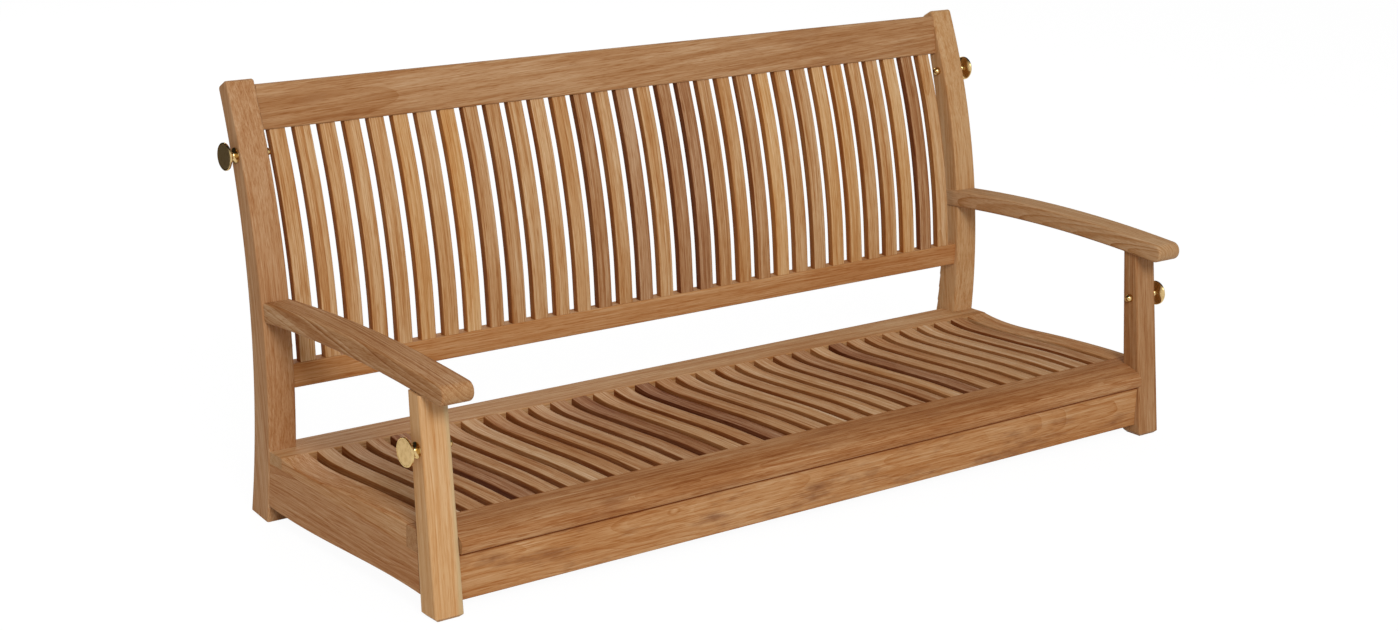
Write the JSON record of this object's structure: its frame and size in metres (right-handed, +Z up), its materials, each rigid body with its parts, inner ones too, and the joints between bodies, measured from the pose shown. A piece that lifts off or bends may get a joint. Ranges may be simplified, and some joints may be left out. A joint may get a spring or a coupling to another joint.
{
  "type": "slatted swing bench seat",
  "caption": "Slatted teak garden bench seat with a curved back and arms, hung by loops on turned brass bobbins at its posts.",
  "frame": {"origin": "on the floor that the feet stand on, under the middle of the object's box", "axes": "+X along the bench towards the sitter's left, which is the right of the picture; +Y from the seat's front to its back; +Z up"},
  "size_m": [1.56, 0.6204, 0.6774],
  "materials": {
    "teak_frame": "sanded, unfinished teak with a soft sheen",
    "teak_back_slats": "sanded, unfinished teak, each slat its own shade",
    "teak_seat_slats": "sanded, unfinished teak, each slat its own shade",
    "teak_pegs": "cut end grain",
    "brass": "turned and lacquered, satin on the flat face and bright on the cone"
  },
  "bodies": {
    "frame": {"arm_left": "teak_frame", "arm_right": "teak_frame", "back_slats_01_02": "teak_back_slats", "back_slats_03_04": "teak_back_slats", "back_slats_05_06": "teak_back_slats", "back_slats_07_08": "teak_back_slats", "back_slats_09_10": "teak_back_slats", "back_slats_11_12": "teak_back_slats", "back_slats_13_14": "teak_back_slats", "back_slats_15_16": "teak_back_slats", "back_slats_17_18": "teak_back_slats", "back_slats_19_20": "teak_back_slats", "back_slats_21_22": "teak_back_slats", "back_slats_23_24": "teak_back_slats", "back_slats_25_26": "teak_back_slats", "back_slats_27_28": "teak_back_slats", "back_slats_29_30": "teak_back_slats", "back_slats_31_32": "teak_back_slats", "bobbin_bolts": "brass", "domed_nuts": "brass", "front_apron": "teak_frame", "front_post_left": "teak_frame", "front_post_right": "teak_frame", "joint_pegs": "teak_pegs", "lower_back_rail": "teak_frame", "middle_bearer": "teak_frame", "rear_apron": "teak_frame", "rear_post_left": "teak_frame", "rear_post_right": "teak_frame", "rear_seat_board": "teak_frame", "seat_dowels": "teak_pegs", "seat_end_board_left": "teak_frame", "seat_end_board_right": "teak_frame", "seat_nosing": "teak_frame", "seat_slats_01_03": "teak_seat_slats", "seat_slats_04_06": "teak_seat_slats", "seat_slats_07_09": "teak_seat_slats", "seat_slats_10_12": "teak_seat_slats", "seat_slats_13_15": "teak_seat_slats", "seat_slats_16_18": "teak_seat_slats", "seat_slats_19_21": "teak_seat_slats", "seat_slats_22_24": "teak_seat_slats", "seat_slats_25_27": "teak_seat_slats", "seat_slats_28_30": "teak_seat_slats", "seat_slats_31_32": "teak_seat_slats", "side_rail_left": "teak_frame", "side_rail_right": "teak_frame", "top_rail": "teak_frame"},
    "front_left_bobbin": {"bobbin_front_left": "brass", "bobbin_cap_front_left": "brass"},
    "front_right_bobbin": {"bobbin_front_right": "brass", "bobbin_cap_front_right": "brass"},
    "rear_left_bobbin": {"bobbin_rear_left": "brass", "bobbin_cap_rear_left": "brass"},
    "rear_right_bobbin": {"bobbin_rear_right": "brass", "bobbin_cap_rear_right": "brass"}
  },
  "joints": [
    {"name": "front_left_bobbin_turn", "type": "hinge", "parent": "frame", "child": "front_left_bobbin", "pos_m": [-0.77, -0.24612, 0.2445], "axis": [-1, 0, 0], "continuous": true},
    {"name": "front_right_bobbin_turn", "type": "hinge", "parent": "frame", "child": "front_right_bobbin", "pos_m": [0.77, -0.24612, 0.2445], "axis": [1, 0, 0], "continuous": true},
    {"name": "rear_left_bobbin_turn", "type": "hinge", "parent": "frame", "child": "rear_left_bobbin", "pos_m": [-0.77, 0.26098, 0.569], "axis": [-1, 0, 0], "continuous": true},
    {"name": "rear_right_bobbin_turn", "type": "hinge", "parent": "frame", "child": "rear_right_bobbin", "pos_m": [0.77, 0.26098, 0.569], "axis": [1, 0, 0], "continuous": true}
  ]
}
